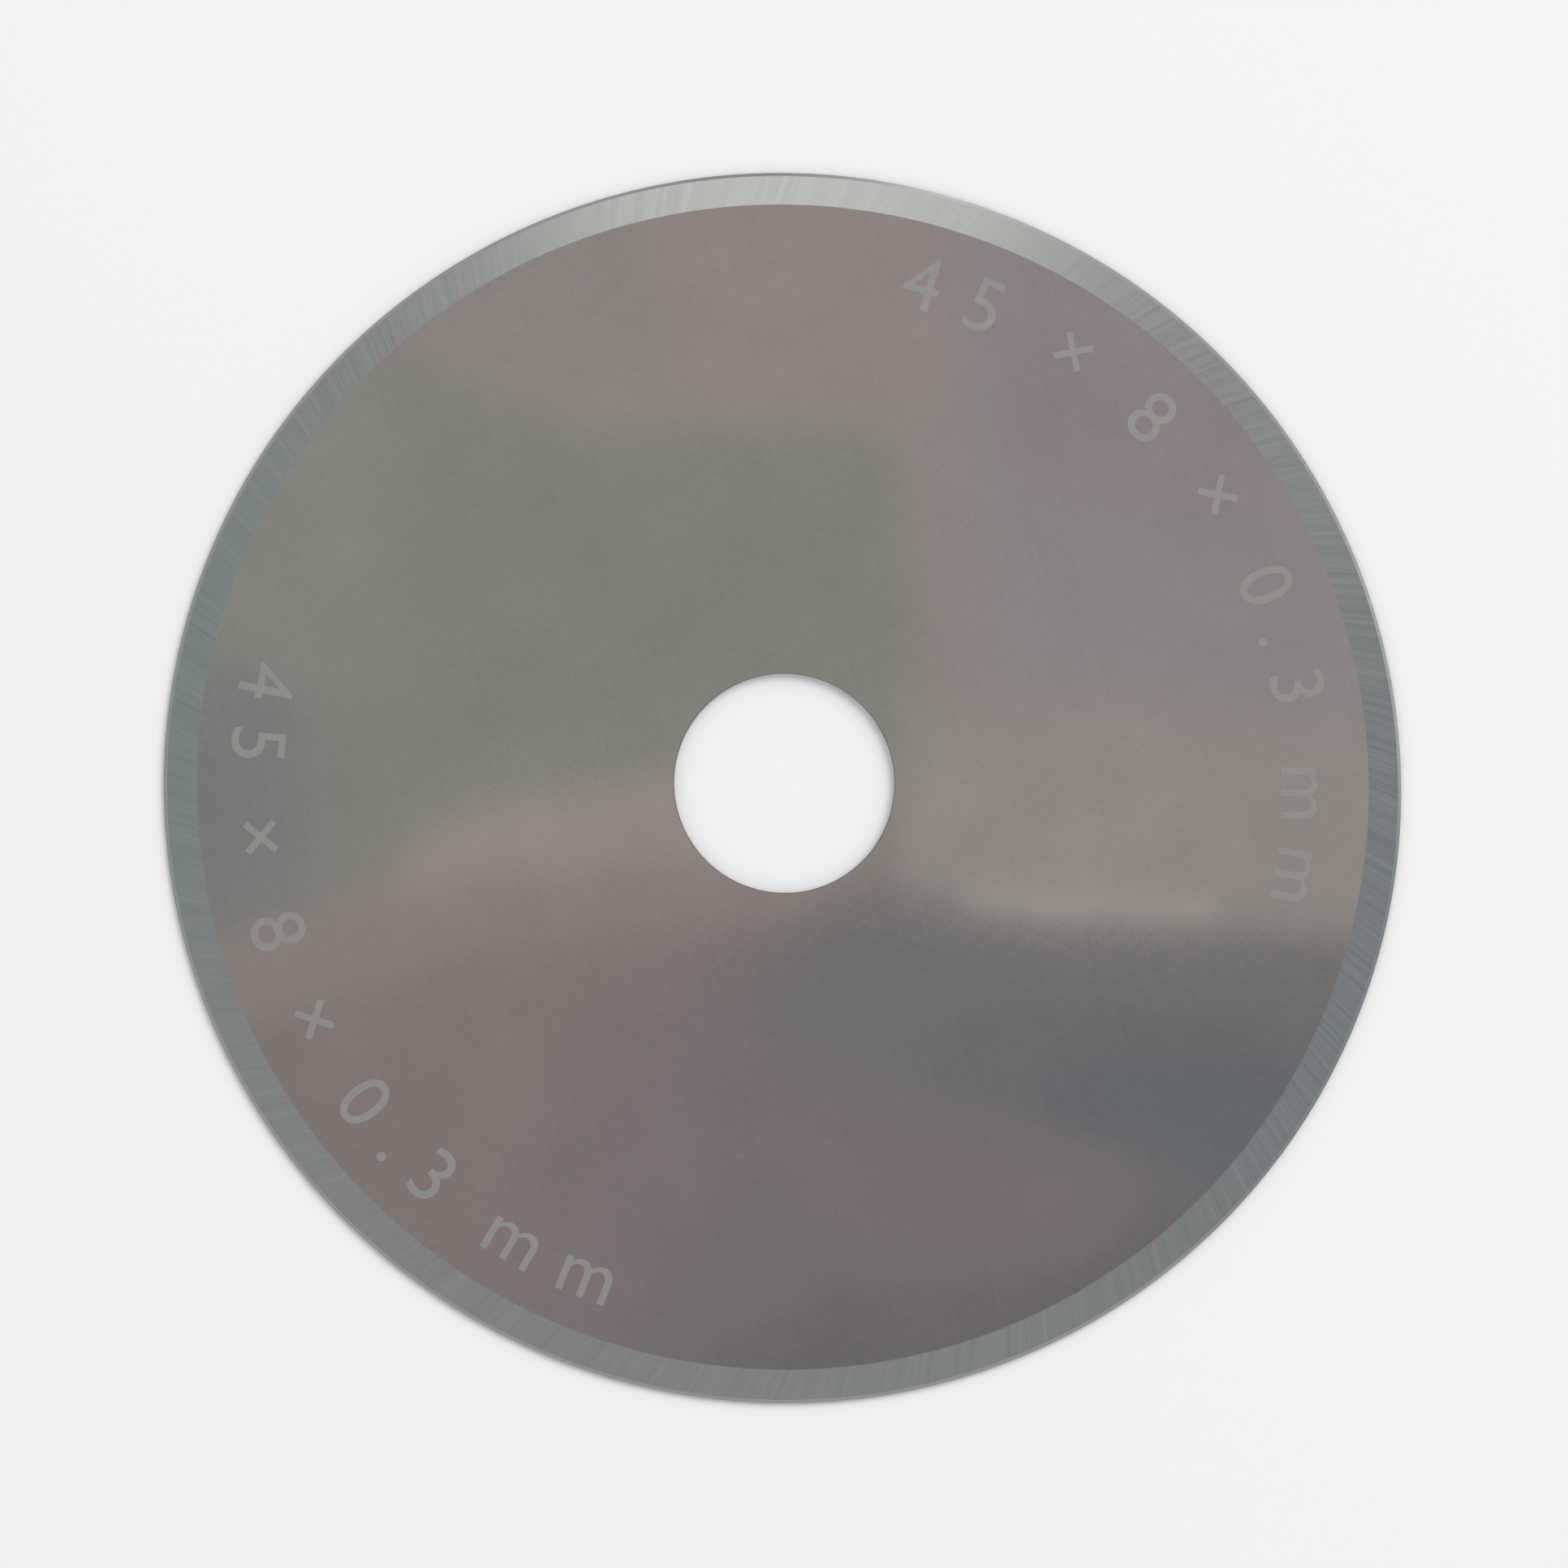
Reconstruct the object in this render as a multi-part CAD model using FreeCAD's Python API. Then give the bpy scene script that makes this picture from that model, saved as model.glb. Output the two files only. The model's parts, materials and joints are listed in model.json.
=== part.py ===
import FreeCAD, Part
import math
import os

# Rotary cutter blade: a thin, flat disc of tungsten carbide with a round bore, ground from
# both sides to a cutting edge all round its rim. It is one piece.
# Millimetres, +Z up. The blade lies on its lower face, at z = 0, and the origin is the
# centre of the bore on that face.

# The blank: a flat disc, lapped to thickness, with a plain bore for the cutter's bolt.
blade_diameter = 45.0
blade_thickness = 0.30
bore_diameter = 8.0
bore_edge_break = 0.04

# The ground rim. The main bevel runs from each flat face towards the edge, and the last
# strip of it is honed steeper, so that the edge lasts. Both widths are radial.
bevel_width = 1.20
hone_width = 0.12
hone_angle = 12.0

rim_radius = blade_diameter / 2
bore_radius = bore_diameter / 2
mid_plane = blade_thickness / 2


def lower_outline():
    """Points (radius, height) of the section's lower half, from the bore wall to the cutting edge."""
    honed_rise = hone_width * math.tan(math.radians(hone_angle))
    wall_foot = (bore_radius, bore_edge_break)
    face_start = (bore_radius + bore_edge_break, 0.0)
    face_end = (rim_radius - bevel_width, 0.0)
    hone_start = (rim_radius - hone_width, mid_plane - honed_rise)
    cutting_edge = (rim_radius, mid_plane)
    return [wall_foot, face_start, face_end, hone_start, cutting_edge]


def section():
    """The closed section on one side of the axis: the lower half and its mirror image."""
    lower = lower_outline()
    upper = [(radius, blade_thickness - height) for radius, height in reversed(lower[:-1])]
    corners = [FreeCAD.Vector(radius, 0, height) for radius, height in lower + upper]
    return Part.Face(Part.makePolygon(corners + corners[:1]))


def blade():
    """The whole blade: the section turned once round the bore's axis."""
    axis_foot = FreeCAD.Vector(0, 0, 0)
    axis = FreeCAD.Vector(0, 0, 1)
    return section().revolve(axis_foot, axis, 360)


def main():
    os.makedirs("parts", exist_ok=True)
    shape = blade()
    shape.exportStep("parts/blade.step")
    print(f"blade: valid {shape.isValid()}, {len(shape.Solids)} solid, {shape.Volume:.2f} mm3")


main()
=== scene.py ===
import json
import math

import bmesh
import bpy
from mathutils import Matrix, Vector


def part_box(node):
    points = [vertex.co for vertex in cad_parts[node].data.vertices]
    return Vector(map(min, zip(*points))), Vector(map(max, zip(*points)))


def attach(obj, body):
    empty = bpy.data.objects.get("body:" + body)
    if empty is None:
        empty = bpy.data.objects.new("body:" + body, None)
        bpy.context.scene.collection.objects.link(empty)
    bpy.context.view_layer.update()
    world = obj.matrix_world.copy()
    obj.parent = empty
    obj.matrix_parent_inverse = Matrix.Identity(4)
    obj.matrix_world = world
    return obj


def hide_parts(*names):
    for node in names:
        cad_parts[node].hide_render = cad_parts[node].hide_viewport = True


# A rotary cutter blade of tungsten carbide, lying flat: two lapped faces, a bore, and a rim that
# is ground from both sides and honed along its edge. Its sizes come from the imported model.

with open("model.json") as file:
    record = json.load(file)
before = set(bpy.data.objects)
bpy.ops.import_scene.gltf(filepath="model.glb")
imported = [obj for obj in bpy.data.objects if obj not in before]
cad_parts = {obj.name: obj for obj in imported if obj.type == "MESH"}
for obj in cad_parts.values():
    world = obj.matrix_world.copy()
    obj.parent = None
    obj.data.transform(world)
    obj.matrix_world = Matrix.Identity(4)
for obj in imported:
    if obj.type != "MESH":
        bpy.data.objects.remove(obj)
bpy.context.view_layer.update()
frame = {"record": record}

MM = 0.001
FULL_TURN = 2 * math.pi
QUARTER_TURN = math.pi / 2

# Points nearer to each other than this become one
WELD = 0.0001 * MM

# A noise pattern runs from 0 to 1, and most of it lies between these
NOISE_LOW = 0.3
NOISE_HIGH = 0.7

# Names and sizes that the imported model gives, the sizes to the micrometre
BODY = "root"
NODE = "blade"
lowest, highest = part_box(NODE)
mounts = {mount["name"]: mount for mount in frame["record"]["mounts"]}
bore = mounts["arbor_bore"]["dims"]
rim_radius = round(max(highest.x, highest.y), 6)
thickness = round(highest.z - lowest.z, 6)
bore_radius = bore["r_mm"] * MM
bore_edge_break = (thickness - bore["length_mm"] * MM) / 2

# The ground rim, the same as in the part's source
bevel_width = 1.20 * MM
hone_width = 0.12 * MM
hone_angle = math.radians(12.0)

# The section is turned in this many steps. Edges that bend more than the angle stay crisp.
turning_steps = 720
crease_angle = math.radians(2.0)

# The blade's finishes, in the order of its materials
LAPPED, GROUND, HONED, BORED = range(4)

# The lapping lines run three ways over the flat faces
lapping_directions = [math.radians(degrees) for degrees in (14, 71, 128)]
lapping_width = 0.11 * MM
lapping_stretch = 40

# The lines that the cup wheel leaves on the bevel lean this far from the radius
grinding_slant = math.radians(22.0)
coarse_grinding = 0.25 * MM
fine_grinding = 0.08 * MM

# The etched sizes. Each line of them runs along the face from one angle to another.
mark_text = f"{2 * rim_radius / MM:.0f} × {2 * bore_radius / MM:.0f} × {thickness / MM:.1f} mm"
mark_height = 2.0 * MM
mark_radius = 19.1 * MM
mark_proud = 0.004 * MM
mark_sunk = 0.010 * MM
mark_curve_steps = 6
blank_width = 0.1 * MM
upper_line = (math.radians(76.5), math.radians(-13.0))
lower_line = (math.radians(167.0), math.radians(251.0))

# The camera looks down and a little northwards, as the photograph does
camera_distance = 350 * MM
camera_lean = math.radians(7.0)
camera_swing = math.radians(20.0)
picture_width = 57 * MM
sensor_width = 36.0
nearest_seen = 10 * MM

# The floor, and a large soft lamp to the north-east
floor_width = 4.0
floor_drop = 0.01 * MM
lamp_place = Vector((0.45, 0.42, 0.62))
lamp_width = 0.75
lamp_power = 3.0

# The white surround, and the light and dark parts of the room that metal mirrors in it
background_level = 1.0
surround_level = 0.72
room_scale = 11.0
room_shade = 0.4
room_light = 1.6

# The reflecting cards hang one above another, with their corners rounded
first_card_height = 350 * MM
card_step = 1 * MM
card_rounding = 4 * MM
card_rounding_steps = 5


def add_node(tree, kind, values=None, links=None, **settings):
    """A new node, with its settings, the values of its sockets and the links into them."""
    node = tree.nodes.new(kind)
    for name, value in settings.items():
        setattr(node, name, value)
    for socket, value in (values or {}).items():
        node.inputs[socket].default_value = value
    for socket, source in (links or {}).items():
        tree.links.new(source, node.inputs[socket])
    return node


class Finish:
    """A material whose tone, roughness and relief follow patterns on Object coordinates."""

    def __init__(self, name, colour, roughness, metallic=1.0):
        self.colour = colour
        self.material = bpy.data.materials.new(name)
        self.material.use_nodes = True
        self.tree = self.material.node_tree
        self.shader = self.tree.nodes["Principled BSDF"]
        self.shader.inputs["Base Color"].default_value = (*colour, 1.0)
        self.shader.inputs["Roughness"].default_value = roughness
        self.shader.inputs["Metallic"].default_value = metallic

    def place(self):
        """Object coordinates, in metres."""
        return add_node(self.tree, "ShaderNodeTexCoord").outputs["Object"]

    def maths(self, operation, first, second=0.0):
        """One sum on patterns or plain numbers."""
        node = add_node(self.tree, "ShaderNodeMath", operation=operation)
        for socket, value in zip(node.inputs, (first, second)):
            if isinstance(value, (int, float)):
                socket.default_value = value
            else:
                self.tree.links.new(value, socket)
        return node.outputs["Value"]

    def vector_maths(self, operation, first, second=(0, 0, 0), output="Vector"):
        """One sum on vectors."""
        node = add_node(
            self.tree, "ShaderNodeVectorMath", {1: second}, {0: first}, operation=operation
        )
        return node.outputs[output]

    def noise(self, place, size, detail=2.0, stretch=(1, 1, 1), turn=0.0):
        """A pattern of patches of about that size, drawn out by stretch once turned about Z."""
        mapping = add_node(
            self.tree,
            "ShaderNodeMapping",
            {"Scale": stretch, "Rotation": (0, 0, turn)},
            {"Vector": place},
            vector_type="TEXTURE",
        )
        return add_node(
            self.tree,
            "ShaderNodeTexNoise",
            {"Scale": 1 / size, "Detail": detail},
            {"Vector": mapping.outputs["Vector"]},
        ).outputs["Fac"]

    def sum_of(self, *parts):
        """Patterns added up, each times its share."""
        total = 0.0
        for pattern, share in parts:
            total = self.maths("ADD", self.maths("MULTIPLY", pattern, share), total)
        return total

    def spread(self, pattern, low, high, from_low=NOISE_LOW, from_high=NOISE_HIGH):
        """A pattern's middle range taken to low and high."""
        return add_node(
            self.tree,
            "ShaderNodeMapRange",
            {"From Min": from_low, "From Max": from_high, "To Min": low, "To Max": high},
            {"Value": pattern},
        ).outputs["Result"]

    def mottle(self, pattern, share):
        """The colour, darker by that share where the pattern is 0 and lighter where it is 1."""
        mix = add_node(self.tree, "ShaderNodeMix", None, {"Factor": pattern}, data_type="RGBA")
        ends = [socket for socket in mix.inputs if socket.type == "RGBA"]
        for socket, level in zip(ends, (1 - share, 1 + share)):
            socket.default_value = (*[channel * level for channel in self.colour], 1.0)
        mixed = next(socket for socket in mix.outputs if socket.type == "RGBA")
        self.tree.links.new(mixed, self.shader.inputs["Base Color"])

    def roughen(self, pattern, low, high):
        """The roughness, from low to high as the pattern rises."""
        self.tree.links.new(self.spread(pattern, low, high), self.shader.inputs["Roughness"])

    def relief(self, pattern, strength, depth):
        """The pattern as fine relief of that depth."""
        bump = add_node(
            self.tree,
            "ShaderNodeBump",
            {"Strength": strength, "Distance": depth},
            {"Height": pattern},
        )
        self.tree.links.new(bump.outputs["Normal"], self.shader.inputs["Normal"])


def lapped_face():
    """The flat faces: lapped and polished, nearly a mirror, with fine crossing lapping lines. Their
    colour carries a painted sheen along the lines.
    """
    finish = Finish("lapped carbide", (0.213, 0.198, 0.190), 0.05)
    place = finish.place()
    clouds = finish.noise(place, 3.85 * MM, detail=3.0)
    grain = finish.noise(place, 0.045 * MM)
    lines = [
        finish.noise(place, lapping_width, stretch=(1, lapping_stretch, 1), turn=direction)
        for direction in lapping_directions
    ]
    lapping = finish.sum_of(*[(line, 1 / len(lines)) for line in lines])
    # The colour's tone: random clouds and grain, plus the lapping lines' share, a painted sheen for
    # the light their scratches scatter
    tone = finish.sum_of((clouds, 0.3), (grain, 0.25), (lapping, 0.45))
    finish.mottle(finish.spread(tone, 0, 1, 0.38, 0.62), 0.06)
    finish.roughen(lapping, 0.038, 0.06)
    finish.relief(lapping, 0.3, 0.0005 * MM)
    return finish.material


def ground_bevel():
    """The main bevel: ground by a cup wheel, which leaves fine slanting lines across it."""
    finish = Finish("ground bevel", (0.200, 0.204, 0.203), 0.22)
    flat = finish.vector_maths("MULTIPLY", finish.place(), (1, 1, 0))
    radius = finish.vector_maths("LENGTH", flat, output="Value")
    direction = finish.vector_maths("NORMALIZE", flat)
    slant = finish.maths("MULTIPLY", radius, math.tan(grinding_slant) / rim_radius)
    slanted = add_node(
        finish.tree,
        "ShaderNodeVectorRotate",
        {"Axis": (0, 0, 1)},
        {"Vector": direction, "Angle": slant},
        rotation_type="AXIS_ANGLE",
    ).outputs["Vector"]
    coarse = finish.noise(slanted, coarse_grinding / rim_radius, detail=1.0)
    fine = finish.noise(slanted, fine_grinding / rim_radius, detail=1.0)
    lines = finish.sum_of((coarse, 0.5), (fine, 0.5))
    finish.mottle(finish.spread(lines, 0, 1), 0.08)
    finish.roughen(lines, 0.18, 0.27)
    finish.relief(lines, 0.4, 0.001 * MM)
    return finish.material


def honed_strip():
    """The last strip before the edge, honed finer than the bevel."""
    finish = Finish("honed strip", (0.260, 0.262, 0.262), 0.14)
    grain = finish.noise(finish.place(), 0.06 * MM)
    finish.mottle(grain, 0.05)
    finish.roughen(grain, 0.11, 0.18)
    return finish.material


def bore_wall():
    """The bore, ground round and left satin."""
    finish = Finish("bore wall", (0.190, 0.184, 0.180), 0.28)
    rings = finish.noise(finish.place(), 0.33 * MM, detail=3.0, stretch=(5, 5, 0.12))
    finish.mottle(rings, 0.08)
    finish.roughen(rings, 0.22, 0.36)
    return finish.material


def etched_mark():
    """The etched figures: a frosted finish, a little lighter than the face."""
    finish = Finish("etched mark", (0.238, 0.226, 0.219), 0.5)
    frost = finish.noise(finish.place(), 0.07 * MM, detail=3.0)
    finish.mottle(frost, 0.07)
    finish.roughen(frost, 0.42, 0.58)
    return finish.material


def to_object(name, bm, materials):
    """A finished bmesh as an object of the scene, at the origin."""
    mesh = bpy.data.meshes.new(name)
    bm.to_mesh(mesh)
    bm.free()
    for material in materials:
        mesh.materials.append(material)
    obj = bpy.data.objects.new(name, mesh)
    bpy.context.scene.collection.objects.link(obj)
    return obj


def section_points():
    """The blade's section on the +X side, from the bore round to the bore again."""
    middle = lowest.z + thickness / 2
    honed_rise = hone_width * math.tan(hone_angle)
    half = thickness / 2
    lower = [
        (bore_radius, -half + bore_edge_break),
        (bore_radius + bore_edge_break, -half),
        (rim_radius - bevel_width, -half),
        (rim_radius - hone_width, -honed_rise),
    ]
    edge = (rim_radius, 0)
    upper = [(radius, -height) for radius, height in reversed(lower)]
    return [Vector((radius, 0, middle + height)) for radius, height in [*lower, edge, *upper]]


def finish_of(face):
    """The finish that a face of the blade has, from how far it lies from the axis."""
    radius = face.calc_center_median().xy.length
    if radius < bore_radius + bore_edge_break:
        return BORED
    if radius < rim_radius - bevel_width:
        return LAPPED
    return GROUND if radius < rim_radius - hone_width else HONED


def put_in_order(bm):
    """The edges and faces in the order of their corners. A spin leaves them in an order that
    changes from run to run."""
    bm.verts.index_update()
    for parts in (bm.edges, bm.faces):
        ordered = sorted(parts, key=lambda part: sorted(corner.index for corner in part.verts))
        for position, part in enumerate(ordered):
            part.index = position
        parts.sort()


def blade_body():
    """The whole blade: its section turned once round the bore's axis."""
    bm = bmesh.new()
    corners = [bm.verts.new(point) for point in section_points()]
    outline = [bm.edges.new((a, b)) for a, b in zip(corners, corners[1:] + corners[:1])]
    bmesh.ops.spin(
        bm,
        geom=corners + outline,
        cent=(0, 0, 0),
        axis=(0, 0, 1),
        angle=FULL_TURN,
        steps=turning_steps,
        use_merge=True,
    )
    bmesh.ops.remove_doubles(bm, verts=bm.verts, dist=WELD)
    put_in_order(bm)
    bmesh.ops.recalc_face_normals(bm, faces=bm.faces)
    for face in bm.faces:
        face.smooth = True
        face.material_index = finish_of(face)
    for edge in bm.edges:
        edge.smooth = edge.calc_face_angle(0.0) < crease_angle
    return to_object("blade_body", bm, [lapped_face(), ground_bevel(), honed_strip(), bore_wall()])


def character(letter, size):
    """One character as a thin solid, with its foot on the X axis and its middle on the XY plane."""
    curve = bpy.data.curves.new("character", "FONT")
    curve.body = letter
    curve.size = size
    curve.resolution_u = mark_curve_steps
    curve.extrude = (mark_proud + mark_sunk) / 2
    holder = bpy.data.objects.new("character", curve)
    bpy.context.scene.collection.objects.link(holder)
    bpy.context.view_layer.update()
    evaluated = holder.evaluated_get(bpy.context.evaluated_depsgraph_get())
    mesh = bpy.data.meshes.new_from_object(evaluated)
    bpy.data.objects.remove(holder)
    bm = bmesh.new()
    bm.from_mesh(mesh)
    bpy.data.meshes.remove(mesh)
    bmesh.ops.remove_doubles(bm, verts=bm.verts, dist=WELD)
    bmesh.ops.recalc_face_normals(bm, faces=bm.faces)
    return bm


def text_size():
    """The size of type at which a figure is as high as the marks."""
    figure = character("8", 1.0)
    heights = [vertex.co.y for vertex in figure.verts]
    figure.free()
    return mark_height / (max(heights) - min(heights))


def ends_of(letter):
    """Where a character starts and ends along its line. None is a blank."""
    if letter is None:
        return 0, blank_width
    across = [vertex.co.x for vertex in letter.verts]
    return min(across), max(across)


def add_character(target, letter, place):
    """A character moved to its place and added to the target's mesh."""
    bmesh.ops.transform(letter, matrix=place, verts=letter.verts)
    mesh = bpy.data.meshes.new("character")
    letter.to_mesh(mesh)
    letter.free()
    target.from_mesh(mesh)
    bpy.data.meshes.remove(mesh)


def line_of_marks(target, size, start, end):
    """Characters spread evenly along an arc of the face. Where they run clockwise their tops
    point outwards, and otherwise inwards."""
    way = 1 if end > start else -1
    letters = [None if letter == " " else character(letter, size) for letter in mark_text]
    ends = [ends_of(letter) for letter in letters]
    widths = [right - left for left, right in ends]
    gap = (abs(end - start) * mark_radius - sum(widths)) / (len(widths) - 1)
    raised = Matrix.Translation((0, -way * mark_radius, highest.z + (mark_proud - mark_sunk) / 2))
    travelled = 0.0
    for letter, (left, right), width in zip(letters, ends, widths):
        angle = start + way * (travelled + width / 2) / mark_radius
        travelled += width + gap
        if letter is not None:
            centred = Matrix.Translation((-(left + right) / 2, -mark_height / 2, 0))
            turned = Matrix.Rotation(angle + way * QUARTER_TURN, 4, "Z")
            add_character(target, letter, turned @ raised @ centred)


def size_marks():
    """The blade's sizes, etched twice along the upper face's rim."""
    size = text_size()
    bm = bmesh.new()
    line_of_marks(bm, size, *upper_line)
    line_of_marks(bm, size, *lower_line)
    return to_object("size_marks", bm, [etched_mark()])


def floor_paper():
    """Matt white paper. The blade's underside is seen and mirrored through it from below."""
    finish = Finish("floor paper", (0.92, 0.92, 0.915), 0.9, metallic=0.0)
    finish.shader.inputs["Specular IOR Level"].default_value = 0.0
    back = add_node(finish.tree, "ShaderNodeNewGeometry").outputs["Backfacing"]
    mirrored = add_node(finish.tree, "ShaderNodeLightPath").outputs["Is Glossy Ray"]
    unseen = finish.maths("MAXIMUM", back, mirrored)
    clear = add_node(finish.tree, "ShaderNodeBsdfTransparent").outputs["BSDF"]
    paper = finish.shader.outputs["BSDF"]
    mixed = add_node(finish.tree, "ShaderNodeMixShader", None, {0: unseen, 1: paper, 2: clear})
    output = finish.tree.nodes["Material Output"]
    finish.tree.links.new(mixed.outputs["Shader"], output.inputs["Surface"])
    return finish.material


def floor():
    """A wide sheet of the paper, just below the blade."""
    bm = bmesh.new()
    bmesh.ops.create_grid(bm, x_segments=1, y_segments=1, size=floor_width / 2)
    bmesh.ops.translate(bm, vec=(0, 0, -floor_drop), verts=bm.verts)
    to_object("floor", bm, [floor_paper()])


def soft_lamp():
    """One large round lamp, aimed at the blade."""
    light = bpy.data.lights.new("soft key", "AREA")
    light.shape = "DISK"
    light.size = lamp_width
    light.energy = lamp_power
    lamp = bpy.data.objects.new("soft key", light)
    lamp.location = lamp_place
    lamp.rotation_euler = (-lamp_place).to_track_quat("-Z", "Y").to_euler()
    bpy.context.scene.collection.objects.link(lamp)


def surround():
    """An even white surround. Polished metal mirrors it as a room of soft light and shade."""
    world = bpy.data.worlds.new("surround")
    world.use_nodes = True
    tree = world.node_tree
    back = tree.nodes["Background"]
    back.inputs["Color"].default_value = (1, 1, 1, 1)
    path = add_node(tree, "ShaderNodeLightPath").outputs
    direction = add_node(tree, "ShaderNodeTexCoord").outputs["Generated"]
    room = add_node(
        tree,
        "ShaderNodeTexNoise",
        {"Scale": room_scale, "Detail": 1.0},
        {"Vector": direction},
    )
    walls = add_node(
        tree,
        "ShaderNodeMapRange",
        {"From Min": NOISE_LOW, "From Max": NOISE_HIGH, "To Min": room_shade, "To Max": room_light},
        {"Value": room.outputs["Fac"]},
    )
    plain = add_node(
        tree,
        "ShaderNodeMapRange",
        {"To Min": surround_level, "To Max": background_level},
        {"Value": path["Is Camera Ray"]},
    )
    level = add_node(
        tree,
        "ShaderNodeMix",
        None,
        {0: path["Is Glossy Ray"], 2: plain.outputs["Result"], 3: walls.outputs["Result"]},
    )
    tree.links.new(level.outputs[0], back.inputs["Strength"])
    bpy.context.scene.world = world


def camera_place():
    """Where the camera stands, and how it is turned."""
    lean = Matrix.Rotation(camera_lean, 4, "X")
    swing = Matrix.Rotation(-camera_swing, 4, "Z")
    return swing @ lean @ swing.inverted() @ Matrix.Translation((0, 0, camera_distance))


def camera():
    """The photograph's view: from above, leaning a little to the south."""
    data = bpy.data.cameras.new("camera")
    data.sensor_width = sensor_width
    data.sensor_fit = "HORIZONTAL"
    data.lens = sensor_width * camera_distance / picture_width
    data.clip_start = nearest_seen
    eye = bpy.data.objects.new("camera", data)
    eye.matrix_world = camera_place()
    bpy.context.scene.collection.objects.link(eye)
    bpy.context.scene.camera = eye


def card_glow(name, colour):
    """An even glow, with no other shading."""
    material = bpy.data.materials.new(name)
    material.use_nodes = True
    tree = material.node_tree
    tree.nodes.clear()
    glow = add_node(tree, "ShaderNodeEmission", {"Color": (*colour, 1.0)}).outputs["Emission"]
    add_node(tree, "ShaderNodeOutputMaterial", None, {"Surface": glow})
    return material


def reflecting_card(name, colour, corners, height):
    """A soft card above the blade that only polished metal sees. Its corners are the points of
    the blade's plane, in millimetres, where the camera sees them mirrored."""
    eye = camera_place().translation
    reach = height / eye.z
    bm = bmesh.new()
    for x, y in corners:
        seen = Vector((x * MM, y * MM))
        place = seen + (seen - eye.xy) * reach
        bm.verts.new((place.x, place.y, height))
    bm.faces.new(bm.verts)
    bmesh.ops.bevel(
        bm,
        geom=bm.verts[:],
        offset=card_rounding,
        segments=card_rounding_steps,
        affect="VERTICES",
        profile=0.5,
        material=-1,
        clamp_overlap=True,
    )
    card = to_object(name, bm, [card_glow(name, colour)])
    card.visible_camera = False
    card.visible_diffuse = False
    card.visible_shadow = False
    card.visible_transmission = False


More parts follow.
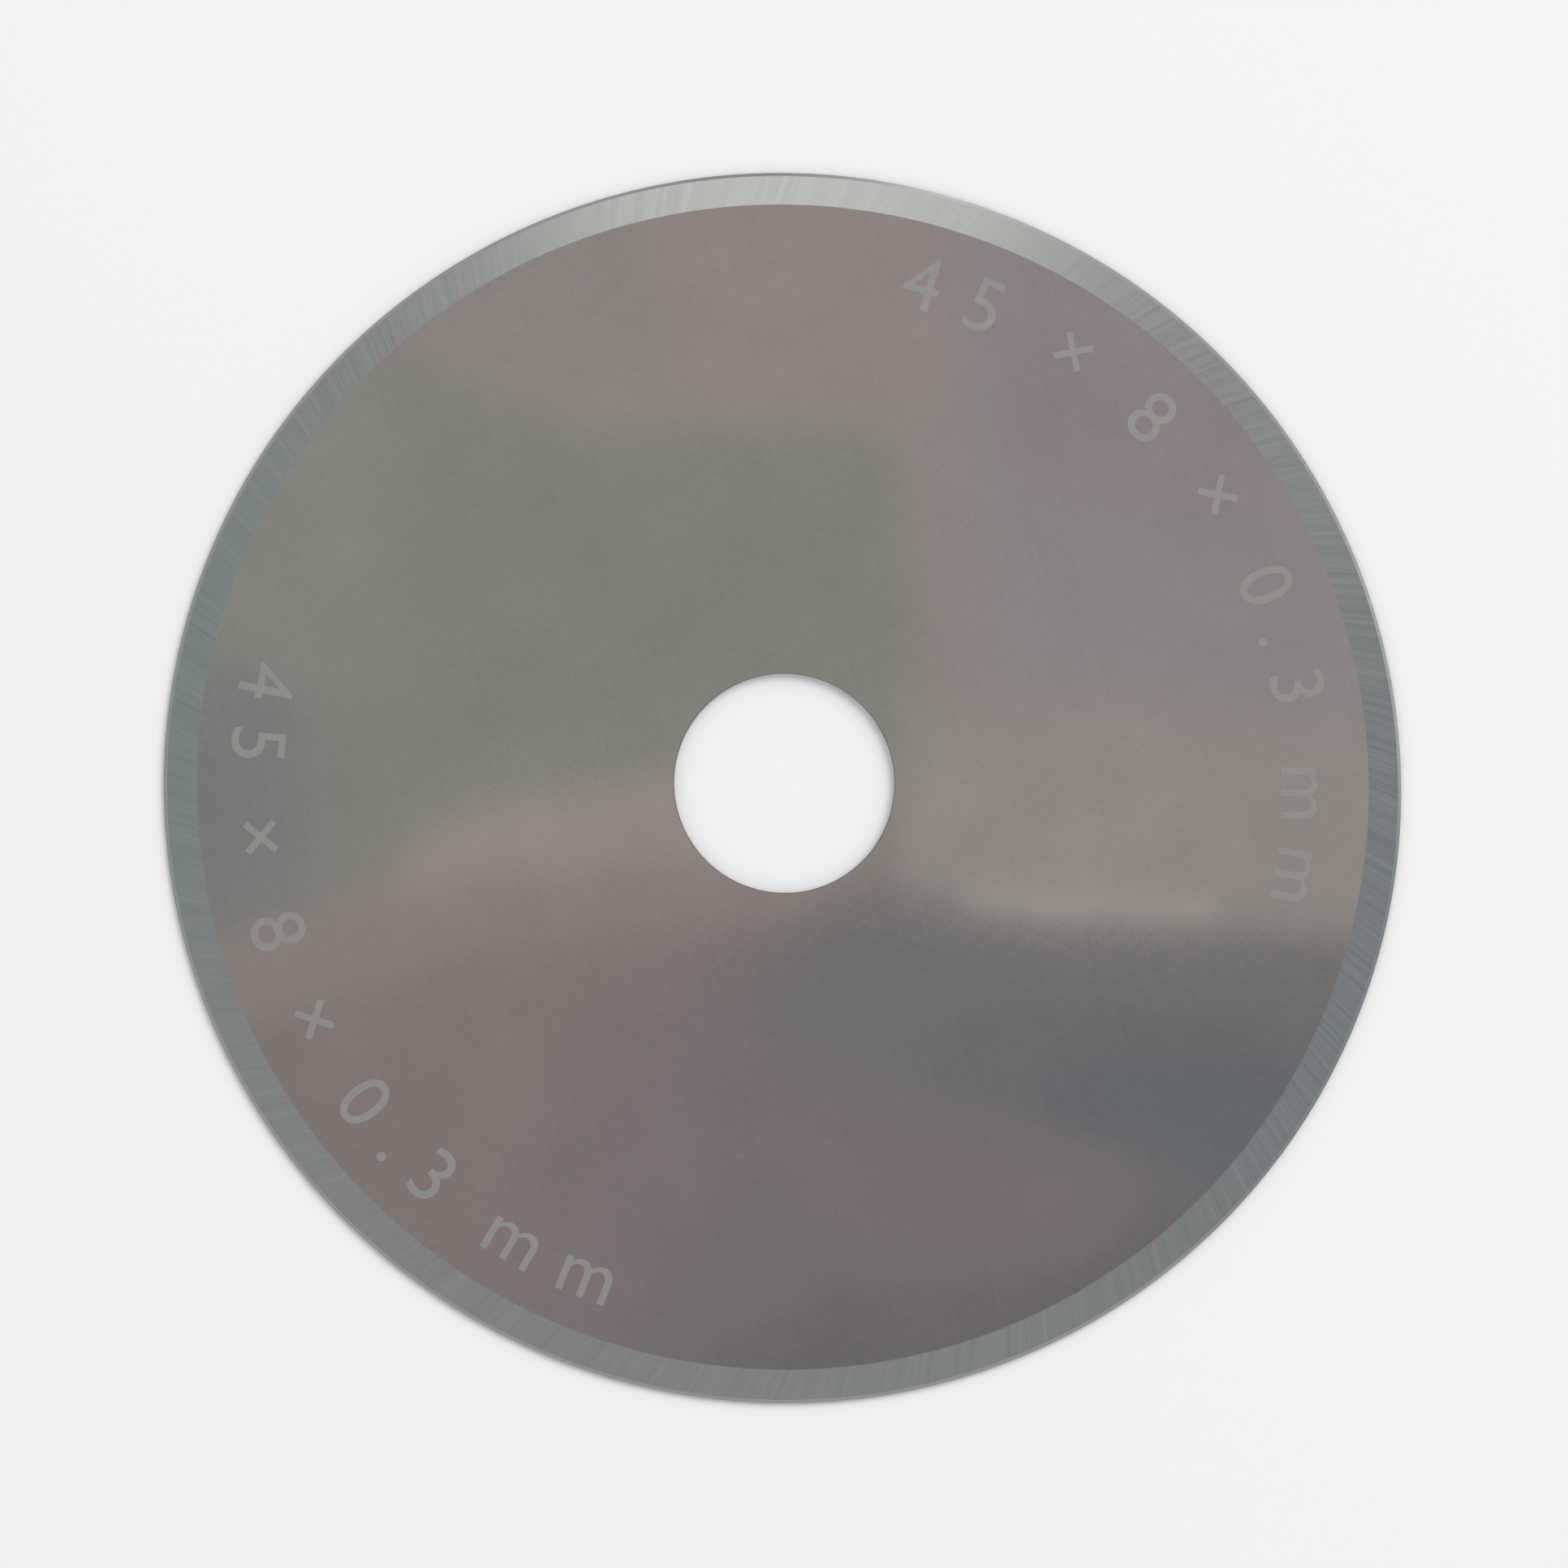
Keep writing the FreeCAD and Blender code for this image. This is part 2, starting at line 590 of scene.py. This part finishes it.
def reflecting_cards():
    """Cards of slightly different greys, the lowest first. The polished faces mirror them as
    soft patches."""
    cards = [
        # The lamp's soft box beyond the blade, and a wall on each side
        ("soft_box", (3.5, 3.5, 3.25), [(-27, 55), (31, 55), (31, 87), (-27, 87)]),
        ("left_card", (0.87, 1.05, 1.04), [(-100, -25), (-45, -15), (-45, 45), (-100, 50)]),
        (
            "right_card",
            (0.72, 0.82, 0.86),
            [(34, -70), (110, -70), (110, 30), (46, 24), (44, -30)],
        ),
        # A thin light streak, and below it the darkest patches
        (
            "streak_card",
            (2.1, 2.0, 1.83),
            [(6.5, -4.1), (10, -4.3), (15.5, -4.4), (15.5, -4.9), (10, -4.8), (6.5, -4.5)],
        ),
        (
            "tongue_card",
            (0.85, 0.79, 0.85),
            [
                (-1, -9.8), (3, -10.8), (7.5, -12), (11.5, -13), (13.8, -14.7),
                (11, -17.3), (8, -18), (3, -17), (-1, -15),
            ],
        ),
        (
            "navy_card",
            (0.58, 0.67, 0.76),
            [(9, -10.5), (13, -10), (27, -11), (27, -19), (17, -16), (13.5, -13.5), (9.5, -12.4)],
        ),
        (
            "dusk_card",
            (0.66, 0.71, 0.76),
            [
                (4, -9), (10, -7.6), (17, -8.4), (27, -9), (27, -13), (22, -19),
                (14.5, -15.5), (9, -13), (4, -11),
            ],
        ),
        (
            "hem_card",
            (0.66, 0.67, 0.74),
            [
                (2.5, -18.3), (8, -18.4), (11.5, -17), (13.5, -14.5), (18, -16),
                (20, -24), (8, -30), (-8, -30), (-3, -20.5),
            ],
        ),
        (
            "dark_card",
            (0.76, 0.80, 0.82),
            [
                (2, -3.9), (5, -3.9), (7.5, -4.9), (15, -5.2), (27, -6),
                (27, -30), (15, -19), (1, -11), (-2, -8), (0, -5.3),
            ],
        ),
        # The lower half, from right to left, and darker from the rose card down
        (
            "low_card",
            (0.80, 0.76, 0.83),
            [(-2.6, -10), (2, -10), (27, -15), (27, -34), (-14, -34), (-4.5, -17.5), (-1.8, -14.5)],
        ),
        (
            "plum_card",
            (0.93, 0.81, 0.87),
            [(0, -4.5), (-6.5, -8), (-10, -15), (-13, -34), (4, -34), (4, -8)],
        ),
        (
            "rose_card",
            (1.38, 1.22, 1.17),
            [
                (-4, 0.5), (3, 0.5), (3, -2.8), (-4, -2.8), (-9, -3.2),
                (-13.5, -4), (-14.5, -3.2), (-12, -1),
            ],
        ),
        (
            "blush_card",
            (1.16, 1.02, 0.98),
            [
                (-4, 0.5), (3, 0.5), (3, -5.2), (-4, -5.2), (-9, -5.7),
                (-14, -7.2), (-34, -13), (-34, -10), (-16, -4.3), (-12, -1),
            ],
        ),
        (
            "warm_card",
            (1.01, 0.88, 0.87),
            [(-4, 0.5), (4, 0.5), (4, -34), (-34, -34), (-34, -10), (-16, -4.3), (-12, -1)],
        ),
        # The upper half, from left to right
        ("slate_card", (0.87, 0.96, 0.97), [(-17.5, 4), (-17, -6), (-34, -12), (-34, 5)]),
        ("moss_card", (1.03, 1.15, 1.04), [(-13.5, 14.5), (-13.5, 3), (-34, 3), (-34, 16)]),
        (
            "green_card",
            (0.97, 1.08, 0.98),
            [
                (4.4, 12.8), (-9, 12.8), (-13, 15.5), (-34, 16),
                (-34, -12), (-12, -2), (-4, 0), (4.4, 0),
            ],
        ),
        ("peach_card", (1.28, 1.14, 1.11), [(6.5, 13.5), (5.5, 34), (-5, 34), (-4.5, 13.5)]),
        (
            "top_card",
            (1.19, 1.12, 1.09),
            [(7, 3), (6.5, 12), (5, 34), (-34, 34), (-34, 12), (4, 12), (4, 3)],
        ),
        ("beige_card", (1.25, 1.21, 1.16), [(3, 3.5), (12, 3.2), (27, 1), (27, -8), (3, -8)]),
        ("orchid_card", (1.14, 1.06, 1.15), [(8, 10.5), (27, 9), (27, 34), (7, 34)]),
        # Behind them all
        ("mauve_card", (1.16, 1.13, 1.19), [(-34, -34), (34, -34), (34, 40), (-34, 40)]),
        ("wide_card", (1.05, 1.08, 1.07), [(-110, -110), (110, -110), (110, 110), (-110, 110)]),
    ]
    for step, (name, colour, corners) in enumerate(cards):
        reflecting_card(name, colour, corners, first_card_height + step * card_step)


body = blade_body()
marks = size_marks()
for piece in (body, marks):
    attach(piece, BODY)
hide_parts(NODE)

floor()
soft_lamp()
surround()
reflecting_cards()
camera()
bpy.context.scene.view_settings.view_transform = "Standard"
